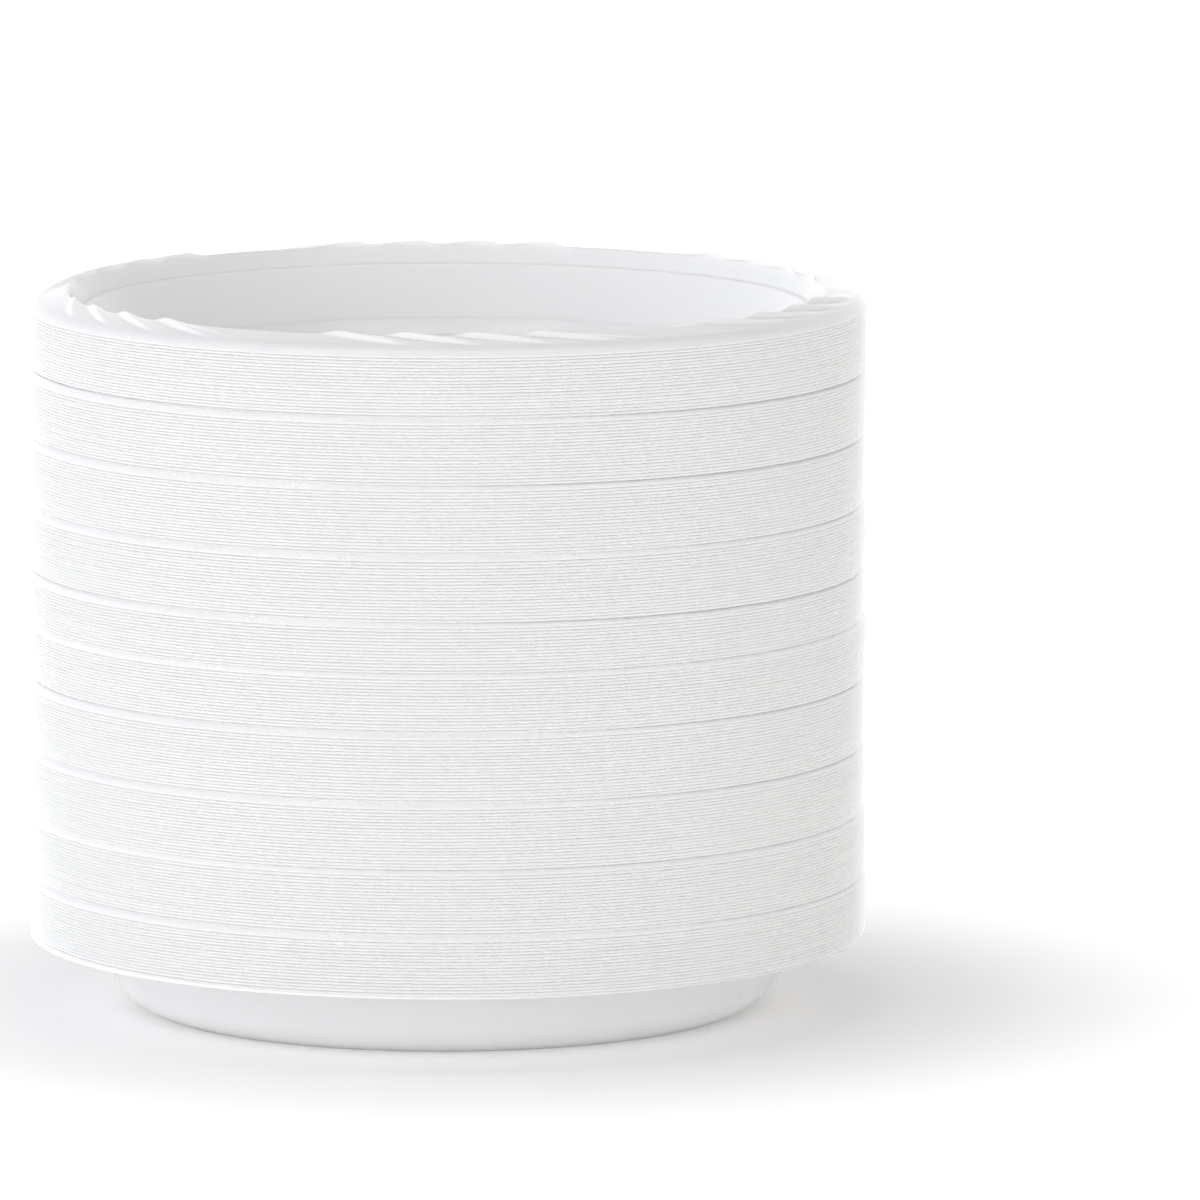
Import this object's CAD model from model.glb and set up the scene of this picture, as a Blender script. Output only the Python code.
"""A stack of thin white plastic bowls in ten sleeves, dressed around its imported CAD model."""

import math
import random

import bpy
import numpy as np
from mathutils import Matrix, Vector, noise


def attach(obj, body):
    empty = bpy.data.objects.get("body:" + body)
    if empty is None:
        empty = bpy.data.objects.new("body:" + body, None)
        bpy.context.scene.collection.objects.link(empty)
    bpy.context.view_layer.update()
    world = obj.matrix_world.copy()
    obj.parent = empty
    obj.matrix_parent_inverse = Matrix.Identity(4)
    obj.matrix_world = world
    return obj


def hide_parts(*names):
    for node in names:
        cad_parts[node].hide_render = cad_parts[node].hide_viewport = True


# Lengths are in millimetres until a mesh is made
MM = 0.001

# The bowl's section, with the values of the CAD source
BOWL_R = 89.0
BOWL_H = 19.0
SHEET_T = 0.26
WALL_LEAN = 31
LEDGE_W = 1.8
RISER_H = 3.7
RISER_LEAN = 32
CREASE_R = 0.5
RIM_W = 8.9
RIM_FALL = 12
LIP_R = 5.2
LIP_SLOPE = 55
FOOT_R = 63.5
FOOT_W = 3.2
FLOOR_RISE = 0.8
FLOOR_STEP_W = 0.7
TOE_H = 0.4
TOE_W = 0.6
BASE_SLOPE = 20
CORNER_R = 11.9

# The ribs on the rim
RIB_GROUPS = 6
RIBS_IN_GROUP = 4
RIB_STEP = 10
RIB_START = 250
RIB_H = 0.95
RIB_SWEEP = 16
RIB_REACH = 0.4
RIB_NOSE_DROP = 0.9
RIB_NOSE_LEAN = 20
RIB_RAMP = 7.2
RIB_CREST = 0.6
RIB_FACE = 1.3
RIB_BEVEL = 0.35
RIB_CROWN = 0.6
RIB_BULGE = 0.3
RAMP_HOLLOW = 1.25
SWEEP_EASE = 0.95
RELIEF_EASE = 1.1
COVERED_SETBACK = 0.7

# The stack, from the bottom up
SLEEVE_COUNTS = [19, 20, 20, 21, 18, 15, 20, 21, 20, 20]
SLEEVE_SHIFTS = [
    (0, 0), (-0.1, 0.1), (-0.45, 0), (-0.4, 0.1), (-0.2, 0.2),
    (-0.55, 0.1), (-0.3, -0.05), (-0.4, 0.1), (-0.2, 0), (0.15, 0.1),
]
NEST_GAP = 0.077
SEAT_GAP = 0.25
NEST_STEP = (SHEET_T + NEST_GAP) / math.sin(math.radians(WALL_LEAN))
SEAT_STEP = SHEET_T + RIB_H + SEAT_GAP

# How far the bowls of a sleeve stray from straight: the lower ones stand aside and are squeezed
SEED = 7
DRIFT = 0.5
JITTER = 0.03
SQUEEZE = 0.7
SQUEEZE_EASE = 1.5
WAVE = 0.12
WAVE_TURNS = 2
WAVE_CLIMB = 0.04
EDGE_DROP = 0.3
EDGE_LIFT = 0.4

# The plastic
SHARP_ANGLE = 50
CLOUD_SCALE = 14.0
MARK_SCALE = 60.0
TONE_SHARE = 0.45
COOL_WHITE = (0.938, 0.932, 0.924, 1)
CREAM_WHITE = (0.958, 0.948, 0.93, 1)
TONE_BAND = (0.25, 0.75)
ROUGHNESS_BAND = (0.16, 0.26)

# The camera, from the photograph's perspective
EYE = (0.0, -3007.0, 518.0)
AIM = (32.7, 0.0, 86.0)
VIEW_ANGLE = 4.80

# The light: the strength and colour of the sky vary with direction, and the floor glows a little
SKY_LEVEL = 1.69
SKY_LEAN = (-0.36, -0.2, -1.42)
SKY_TINT = (0.02, 0.0, -0.03)
SKY_COLOUR = (0.99, 0.99, 1.003)
FLOOR_GLOW_NEAR = 0.076
FLOOR_GLOW_FAR = 0.34
STRIP_SIZE = (1.4, 0.2)
STRIP_HEIGHT = 1.7
STRIP_POWER = 2.0

# The pale floor, in metres
FLOOR_HALF = 12.0
FLOOR_DROP = 0.00005
FLOOR_GREY = 0.94

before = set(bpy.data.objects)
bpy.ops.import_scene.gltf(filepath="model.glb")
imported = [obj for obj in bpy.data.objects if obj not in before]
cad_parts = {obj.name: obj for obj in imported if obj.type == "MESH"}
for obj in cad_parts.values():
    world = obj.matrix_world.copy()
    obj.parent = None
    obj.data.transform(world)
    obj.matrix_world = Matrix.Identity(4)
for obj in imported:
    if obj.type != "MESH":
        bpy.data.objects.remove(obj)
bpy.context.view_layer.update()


def tan(degrees):
    return math.tan(math.radians(degrees))


def sin(degrees):
    return math.sin(math.radians(degrees))


def cos(degrees):
    return math.cos(math.radians(degrees))


def unit(v):
    return v / np.linalg.norm(v)


def rounded(a, p, b, radius, steps):
    """Points on an arc that rounds the corner at p between a and b, or p alone for no steps."""
    if steps == 0:
        return [p]
    u, v = unit(a - p), unit(b - p)
    half = math.acos(np.clip(u @ v, -1, 1)) / 2
    mid = p + unit(u + v) * radius / math.sin(half)
    start = p + u * radius / math.tan(half) - mid
    end = p + v * radius / math.tan(half) - mid
    first = math.atan2(start[1], start[0])
    turn = math.atan2(end[1], end[0]) - first
    turn = (turn + math.pi) % (2 * math.pi) - math.pi
    angles = first + turn * np.linspace(0, 1, steps + 1)
    return [mid + radius * np.array([math.cos(t), math.sin(t)]) for t in angles]


def moved(line, distance):
    """The same line moved square to itself, to its left."""
    line = np.array(line)
    sides = np.diff(line, axis=0)
    sides /= np.linalg.norm(sides, axis=1)[:, None]
    before = np.vstack([sides[:1], sides])
    after = np.vstack([sides, sides[-1:]])
    both = np.column_stack([-before[:, 1] - after[:, 1], before[:, 0] + after[:, 0]])
    return line + both * distance / (1 + np.sum(before * after, axis=1))[:, None]


def key_points():
    """The corners of the underside of a bowl's sheet, by name."""
    rim_in = np.array([BOWL_R - RIM_W, BOWL_H - SHEET_T / cos(RIM_FALL)])
    rim_out_r = BOWL_R - LIP_R * (sin(LIP_SLOPE) - sin(RIM_FALL))
    rim_out = np.array([rim_out_r, rim_in[1] - (rim_out_r - rim_in[0]) * tan(RIM_FALL)])
    ledge_out = rim_in - RISER_H * np.array([tan(RISER_LEAN), 1])
    ledge_in = ledge_out - np.array([LEDGE_W, 0])
    foot_out = np.array([FOOT_R, 0.0])
    foot_in = foot_out - np.array([FOOT_W, 0])
    toe = foot_out + np.array([TOE_W, TOE_H])
    rise = ledge_in - toe
    corner_x = (rise[0] - rise[1] * tan(WALL_LEAN)) / (1 - tan(BASE_SLOPE) * tan(WALL_LEAN))
    return {
        "middle": np.array([0.0, FLOOR_RISE]),
        "floor_edge": foot_in + np.array([-FLOOR_STEP_W, FLOOR_RISE]),
        "foot_in": foot_in,
        "foot_out": foot_out,
        "toe": toe,
        "corner": toe + corner_x * np.array([1, tan(BASE_SLOPE)]),
        "ledge_in": ledge_in,
        "ledge_out": ledge_out,
        "rim_in": rim_in,
        "rim_out": rim_out,
        "lip_mid": rim_out - LIP_R * np.array([sin(RIM_FALL), cos(RIM_FALL)]),
    }


POINT = key_points()
FOOT_POINTS = ("middle", "floor_edge", "foot_in", "foot_out", "toe")


def underside(corner_steps, crease_steps, lip_steps):
    """The underside of a bowl's sheet, from the middle of the floor to the edge of the lip."""
    p = POINT
    line = [p[name] for name in FOOT_POINTS]
    line += rounded(p["toe"], p["corner"], p["ledge_in"], CORNER_R, corner_steps)
    line += rounded(p["corner"], p["ledge_in"], p["ledge_out"], CREASE_R, crease_steps)
    line += rounded(p["ledge_in"], p["ledge_out"], p["rim_in"], CREASE_R, crease_steps)
    line += rounded(p["ledge_out"], p["rim_in"], p["rim_out"], CREASE_R, crease_steps)
    for slope in np.linspace(RIM_FALL, LIP_SLOPE, lip_steps + 1):
        line.append(p["lip_mid"] + LIP_R * np.array([sin(slope), cos(slope)]))
    return np.array(line)


def along(line, shares):
    """Points on a line at the given shares of its length."""
    line = np.array(line)
    lengths = np.concatenate([[0], np.cumsum(np.linalg.norm(np.diff(line, axis=0), axis=1))])
    where = shares * lengths[-1]
    return np.column_stack([np.interp(where, lengths, line[:, k]) for k in (0, 1)])


def grid_faces(fine, columns):
    """The faces of a closed grid of rings, whose first and last ring are single points.

    A ring that isn't fine leaves out every other column.
    """
    def part(ring, k):
        if ring in (0, len(fine) - 1):
            return [ring * columns]
        steps = (0, 1, 2) if fine[ring] else (0, 2)
        return [ring * columns + (k + step) % columns for step in steps]

    faces = []
    for ring in range(len(fine) - 1):
        for k in range(0, columns, 2):
            low, high = part(ring, k), part(ring + 1, k)
            if len(low) == len(high) == 3:
                faces.append([low[0], low[1], high[1], high[0]])
                faces.append([low[1], low[2], high[2], high[1]])
            else:
                faces.append(low + high[::-1])
    return faces


class Bowl:
    """The grid of one bowl: rings of points by radius, height and skew, and its columns' angles.

    A column's weight says how much of it follows the ribbed outline instead of the plain one.
    """

    def __init__(self, plain, ribbed, skew, angles, weight, fine):
        self.plain = plain
        self.ribbed = ribbed
        self.skew = skew
        self.angles = angles
        self.weight = weight
        faces = grid_faces(fine, len(angles))
        self.used, self.corners = np.unique(np.concatenate(faces), return_inverse=True)
        self.sizes = np.array([len(face) for face in faces])


def lathed_bowl(steps, segments):
    """A bowl with a plain rim."""
    line = underside(*steps)
    ring = np.vstack([line, moved(line, SHEET_T)[::-1]])
    angles = np.linspace(0, 360, segments, endpoint=False)
    fine = ring[:, 0] > POINT["rim_out"][0] - SHEET_T
    return Bowl(ring, ring, np.zeros(len(ring)), angles, np.zeros(segments), fine)


def rib_weight(angle):
    """How much of a rib's height stands at this angle from the outer edge of its crest."""
    if -RIB_FACE < angle < 0:
        t = 1 + angle / RIB_FACE
        return t * t * (3 - 2 * t)
    if 0 <= angle <= RIB_CREST:
        return 1.0
    if RIB_CREST < angle < RIB_CREST + RIB_RAMP:
        return (1 - (angle - RIB_CREST) / RIB_RAMP) ** RAMP_HOLLOW
    return 0.0


def rib_columns(face_steps, ramp_steps, flat_steps, plain_steps):
    """The angles of a bowl's columns, closest where a rib is steepest, and the ribs' weights."""
    stops = list(np.linspace(-RIB_FACE, 0, face_steps, endpoint=False))
    stops += [0, RIB_CREST / 2]
    stops += list(np.linspace(RIB_CREST, RIB_CREST + RIB_RAMP, ramp_steps, endpoint=False))
    flat = RIB_STEP - RIB_FACE
    stops += list(np.linspace(RIB_CREST + RIB_RAMP, flat, flat_steps, endpoint=False))
    group = 360 / RIB_GROUPS
    plain_from = RIBS_IN_GROUP * RIB_STEP - RIB_FACE
    plain_to = group - RIB_FACE
    angles, weights = [], []
    for g in range(RIB_GROUPS):
        for k in range(RIBS_IN_GROUP):
            for stop in stops:
                angles.append(RIB_START + g * group + k * RIB_STEP + stop)
                weights.append(rib_weight(stop))
        for stop in np.linspace(plain_from, plain_to, plain_steps, endpoint=False):
            angles.append(RIB_START + g * group + stop)
            weights.append(0.0)
    return np.array(angles), np.array(weights)


def ribbed_bowl(steps, relief_steps, column_steps, setback):
    """A bowl with ribs on its rim: the grid is skewed, so that its columns run along the ribs."""
    corner_steps, crease_steps, lip_steps = steps
    under = underside(*steps)
    top = moved(under, SHEET_T)
    first_rim = len(FOOT_POINTS) + corner_steps + 1 + 2 * (crease_steps + 1)
    end_at = first_rim + crease_steps + 2 + max(1, lip_steps // 6)
    riser_foot = top[first_rim - 1]
    end = top[end_at]
    rim_corner = moved([POINT["ledge_out"], POINT["rim_in"], POINT["rim_out"]], SHEET_T)[1]

    nose_r = rim_corner[0] - RIB_REACH + setback
    nose_share = RIB_NOSE_DROP / (rim_corner[1] - riser_foot[1])
    nose_foot = rim_corner + nose_share * (riser_foot - rim_corner)
    top_z = rim_corner[1] + RIB_H
    nose_top = np.array([nose_r + (top_z - nose_foot[1]) * tan(RIB_NOSE_LEAN), top_z])
    nose_side = unit(nose_foot - nose_top)
    crest_side = unit(end - nose_top)
    crown = nose_top + RIB_CROWN * (end - nose_top) + np.array([0, RIB_BULGE])
    if setback:
        start = rim_corner + np.array([setback - RIB_REACH, 0])
        shoulder = nose_top + RIB_BEVEL * crest_side
        crest_line = [nose_foot, rim_corner, start, shoulder, crown, end]
    else:
        below = nose_top + 2 * RIB_BEVEL * nose_side
        peak = nose_top + 0.3 * RIB_BEVEL * (nose_side + crest_side)
        beyond = nose_top + 2 * RIB_BEVEL * crest_side
        crest_line = [nose_foot, below, peak, beyond, crown, end]
    plain_line = np.vstack([[nose_foot], top[first_rim:end_at + 1]])
    shares = np.linspace(0, 1, relief_steps + 1)
    plain = along(plain_line, shares)
    ribbed = along(crest_line, shares ** RELIEF_EASE)

    def sweep(radii):
        swept = np.clip((radii - nose_r) / (end[0] - nose_r), 0, 1)
        return RIB_SWEEP * swept ** SWEEP_EASE

    inner = top[:first_rim]
    outer = top[end_at + 1:]
    top_plain = np.vstack([inner, plain, outer])
    top_ribbed = np.vstack([inner, ribbed, outer])
    top_skew = np.concatenate([
        np.zeros(len(inner)), sweep(plain[:, 0]), np.full(len(outer), float(RIB_SWEEP))
    ])
    fine_under = under[:, 0] > POINT["rim_out"][0]
    fine_top = top_plain[:, 0] > POINT["ledge_out"][0]
    angles, weights = rib_columns(*column_steps)
    return Bowl(
        np.vstack([under, top_plain[::-1]]),
        np.vstack([under, top_ribbed[::-1]]),
        np.concatenate([sweep(under[:, 0]), top_skew[::-1]]),
        angles,
        weights,
        np.concatenate([fine_under, fine_top[::-1]]),
    )


def stray(rng, share):
    """A bowl's small departures from straight; share runs from 0 to 1 up its sleeve."""
    return {
        "x": DRIFT * (1 - share) + rng.uniform(-JITTER, JITTER),
        "y": rng.uniform(-JITTER, JITTER),
        "z": rng.uniform(-JITTER, JITTER),
        "squeeze": SQUEEZE * (1 - share) ** SQUEEZE_EASE,
        "tone": rng.random(),
    }


def edge_wave(angle, level):
    """The height of a bowl's slight wave at these angles; level counts the bowls below it."""
    turn = np.radians(np.arange(0, 360, 5))
    height = level * WAVE_CLIMB
    sway = [
        noise.noise(Vector((WAVE_TURNS * math.cos(t), WAVE_TURNS * math.sin(t), height)))
        for t in turn
    ]
    turn = np.append(turn, 2 * math.pi)
    sway = np.append(sway, sway[0])
    return WAVE * np.interp(angle, turn, sway, period=2 * math.pi)


def placed(bowl, z, shift, level, errors):
    """The points of one bowl at height z, ring by ring, in millimetres."""
    r_plain, z_plain = bowl.plain.T
    r_ribbed, z_ribbed = bowl.ribbed.T
    w = bowl.weight[None, :]
    r = r_plain[:, None] * (1 - w) + r_ribbed[:, None] * w
    h = z_plain[:, None] * (1 - w) + z_ribbed[:, None] * w
    angle = np.radians(bowl.angles[None, :] + bowl.skew[:, None])
    near_edge = np.clip((r - POINT["rim_in"][0]) / RIM_W, 0, 1) ** 2
    wave = edge_wave(angle, level)
    inward = errors["squeeze"] + np.abs(wave)
    r = r - near_edge * inward
    h = h - near_edge * EDGE_DROP * inward
    h = h + near_edge * EDGE_LIFT * wave
    x = r * np.cos(angle) + shift[0] + errors["x"]
    y = r * np.sin(angle) + shift[1] + errors["y"]
    return np.stack([x, y, h + z + errors["z"]], axis=-1)


def make_piece(name, bowls, material):
    """One mesh from bowls, each a grid with its placed points and its tone."""
    verts, corners, sizes, tones = [], [], [], []
    count = 0
    for bowl, points, tone in bowls:
        points = points.reshape(-1, 3)[bowl.used]
        verts.append(points * MM)
        corners.append(bowl.corners + count)
        sizes.append(bowl.sizes)
        tones += [tone] * len(points)
        count += len(points)
    corners = np.concatenate(corners).tolist()
    ends = np.cumsum(np.concatenate(sizes)).tolist()
    faces = [corners[a:b] for a, b in zip([0] + ends[:-1], ends)]
    mesh = bpy.data.meshes.new(name)
    mesh.from_pydata(np.vstack(verts).tolist(), [], faces)
    mesh.attributes.new("tone", "FLOAT", "POINT").data.foreach_set("value", tones)
    mesh.shade_smooth()
    mesh.set_sharp_from_angle(angle=math.radians(SHARP_ANGLE))
    mesh.materials.append(material)
    piece = bpy.data.objects.new(name, mesh)
    bpy.context.collection.objects.link(piece)
    return piece


def node(tree, kind, **inputs):
    """A new shader node with its inputs set by name."""
    made = tree.nodes.new(kind)
    for key, value in inputs.items():
        made.inputs[key.replace("_", " ")].default_value = value
    return made


def white_plastic():
    """Glossy white moulded plastic: cool and cream tones by bowl, and faint flow marks."""
    material = bpy.data.materials.new("white_bowl_plastic")
    material.use_nodes = True
    tree = material.node_tree
    shader = tree.nodes["Principled BSDF"]
    where = tree.nodes.new("ShaderNodeTexCoord")
    tone = tree.nodes.new("ShaderNodeAttribute")
    tone.attribute_name = "tone"
    clouds = node(tree, "ShaderNodeTexNoise", Scale=CLOUD_SCALE, Detail=2.0)
    tree.links.new(where.outputs["Object"], clouds.inputs["Vector"])
    both = tree.nodes.new("ShaderNodeMath")
    both.operation = "MULTIPLY_ADD"
    both.inputs[1].default_value = TONE_SHARE
    tree.links.new(tone.outputs["Fac"], both.inputs[0])
    rest = tree.nodes.new("ShaderNodeMath")
    rest.operation = "MULTIPLY"
    rest.inputs[1].default_value = 1 - TONE_SHARE
    tree.links.new(clouds.outputs["Fac"], rest.inputs[0])
    tree.links.new(rest.outputs[0], both.inputs[2])
    colours = tree.nodes.new("ShaderNodeValToRGB")
    stops = zip(colours.color_ramp.elements, TONE_BAND, (COOL_WHITE, CREAM_WHITE))
    for stop, position, colour in stops:
        stop.position = position
        stop.color = colour
    tree.links.new(both.outputs[0], colours.inputs["Fac"])
    tree.links.new(colours.outputs["Color"], shader.inputs["Base Color"])
    marks = node(tree, "ShaderNodeTexNoise", Scale=MARK_SCALE, Detail=3.0)
    tree.links.new(where.outputs["Object"], marks.inputs["Vector"])
    gloss = tree.nodes.new("ShaderNodeMapRange")
    gloss.inputs["To Min"].default_value, gloss.inputs["To Max"].default_value = ROUGHNESS_BAND
    tree.links.new(marks.outputs["Fac"], gloss.inputs["Value"])
    tree.links.new(gloss.outputs["Result"], shader.inputs["Roughness"])
    shader.inputs["IOR"].default_value = 1.5
    shader.inputs["Subsurface Weight"].default_value = 0.5
    shader.inputs["Subsurface Radius"].default_value = (1.0, 0.95, 0.9)
    shader.inputs["Subsurface Scale"].default_value = 0.0008
    return material


def floor_material():
    """Pale grey that glows a little, more away from the stack than under it."""
    material = bpy.data.materials.new("pale_floor")
    material.use_nodes = True
    tree = material.node_tree
    shader = tree.nodes["Principled BSDF"]
    shader.inputs["Base Color"].default_value = (FLOOR_GREY, FLOOR_GREY, FLOOR_GREY, 1)
    shader.inputs["Roughness"].default_value = 0.8
    shader.inputs["Emission Color"].default_value = (1, 1, 1, 1)
    where = tree.nodes.new("ShaderNodeTexCoord")
    distance = tree.nodes.new("ShaderNodeVectorMath")
    distance.operation = "LENGTH"
    tree.links.new(where.outputs["Object"], distance.inputs[0])
    glow = tree.nodes.new("ShaderNodeMapRange")
    glow.interpolation_type = "SMOOTHSTEP"
    glow.inputs["From Min"].default_value = BOWL_R * MM
    glow.inputs["From Max"].default_value = 2 * BOWL_R * MM
    glow.inputs["To Min"].default_value = FLOOR_GLOW_NEAR
    glow.inputs["To Max"].default_value = FLOOR_GLOW_FAR
    tree.links.new(distance.outputs["Value"], glow.inputs["Value"])
    tree.links.new(glow.outputs["Result"], shader.inputs["Emission Strength"])
    return material


def make_floor():
    half = FLOOR_HALF
    mesh = bpy.data.meshes.new("floor")
    corners = [(-half, -half, 0), (half, -half, 0), (half, half, 0), (-half, half, 0)]
    mesh.from_pydata(corners, [], [(0, 1, 2, 3)])
    mesh.materials.append(floor_material())
    floor = bpy.data.objects.new("floor", mesh)
    bpy.context.collection.objects.link(floor)
    floor.location.z = -FLOOR_DROP


def make_studio():
    """A white studio, brightest at its front and left, and dimmest overhead."""
    world = bpy.data.worlds.new("studio")
    bpy.context.scene.world = world
    world.use_nodes = True
    tree = world.node_tree
    sky = tree.nodes["Background"]
    where = tree.nodes.new("ShaderNodeTexCoord")
    split = tree.nodes.new("ShaderNodeSeparateXYZ")
    tree.links.new(where.outputs["Generated"], split.inputs[0])
    tint = tree.nodes.new("ShaderNodeVectorMath")
    tint.operation = "SCALE"
    tint.inputs[0].default_value = SKY_TINT
    tree.links.new(split.outputs["X"], tint.inputs["Scale"])
    colour = tree.nodes.new("ShaderNodeVectorMath")
    colour.inputs[1].default_value = SKY_COLOUR
    tree.links.new(tint.outputs["Vector"], colour.inputs[0])
    tree.links.new(colour.outputs["Vector"], sky.inputs["Color"])
    lean = tree.nodes.new("ShaderNodeVectorMath")
    lean.operation = "DOT_PRODUCT"
    lean.inputs[1].default_value = SKY_LEAN
    tree.links.new(where.outputs["Generated"], lean.inputs[0])
    level = tree.nodes.new("ShaderNodeMath")
    level.operation = "ADD"
    level.inputs[1].default_value = SKY_LEVEL
    tree.links.new(lean.outputs["Value"], level.inputs[0])
    tree.links.new(level.outputs["Value"], sky.inputs["Strength"])
    lamp = bpy.data.lights.new("strip", "AREA")
    lamp.shape = "RECTANGLE"
    lamp.size, lamp.size_y = STRIP_SIZE
    lamp.energy = STRIP_POWER
    strip = bpy.data.objects.new("strip", lamp)
    strip.location = (0, 0, STRIP_HEIGHT)
    bpy.context.collection.objects.link(strip)
    bpy.context.scene.view_settings.view_transform = "Standard"


def make_camera():
    camera = bpy.data.objects.new("camera", bpy.data.cameras.new("camera"))
    bpy.context.collection.objects.link(camera)
    eye, aim = Vector(EYE) * MM, Vector(AIM) * MM
    camera.location = eye
    camera.rotation_euler = (aim - eye).to_track_quat("-Z", "Y").to_euler()
    camera.data.sensor_width = 36.0
    camera.data.lens = camera.data.sensor_width / 2 / tan(VIEW_ANGLE / 2)
    camera.data.clip_end = 50
    bpy.context.scene.camera = camera


def dress(name, bowls, material, *replaced):
    """Makes one piece of the stack in place of the named CAD nodes."""
    piece = make_piece(name, bowls, material)
    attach(piece, "root")
    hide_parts(*replaced)


def build_stack(material):
    """The ten sleeves from the bottom up: nested bowls, then the sleeve's highest, ribbed bowl."""
    rng = random.Random(SEED)
    nested = lathed_bowl((1, 0, 3), 96)
    standing = lathed_bowl((6, 1, 5), 192)
    covered = ribbed_bowl((2, 1, 3), 8, (2, 4, 1, 4), COVERED_SETBACK)
    open_top = ribbed_bowl((8, 3, 9), 26, (6, 10, 4, 10), 0)
    base_z = 0.0
    level = 0
    for s, count in enumerate(SLEEVE_COUNTS):
        sleeve = f"sleeve_{s + 1:02d}"
        bowls = []
        highest = s == len(SLEEVE_COUNTS) - 1
        for i in range(count):
            errors = stray(rng, i / (count - 1))
            grid = nested
            if s == 0 and i == 0:
                grid = standing
            elif i == count - 1:
                grid = open_top if highest else covered
            if grid is standing or grid is open_top:
                errors["x"] = errors["y"] = errors["z"] = 0.0
            z = base_z + i * NEST_STEP
            bowl = (grid, placed(grid, z, SLEEVE_SHIFTS[s], level, errors), errors["tone"])
            level += 1
            if grid is nested:
                bowls.append(bowl)
            elif grid is covered:
                dress(sleeve + "_ribbed_bowl", [bowl], material, sleeve + "_top_bowl")
            elif grid is standing:
                dress("standing_bowl", [bowl], material, "bottom_bowl")
            else:
                dress("open_top_bowl", [bowl], material, "top_bowl")
        replaced = [sleeve + "_bowls"]
        if s == len(SLEEVE_COUNTS) - 2:
            replaced.append(sleeve + "_upper_bowls")
        dress(sleeve + "_nested_bowls", bowls, material, *replaced)
        base_z += (count - 1) * NEST_STEP + SEAT_STEP


make_camera()
make_floor()
make_studio()
build_stack(white_plastic())
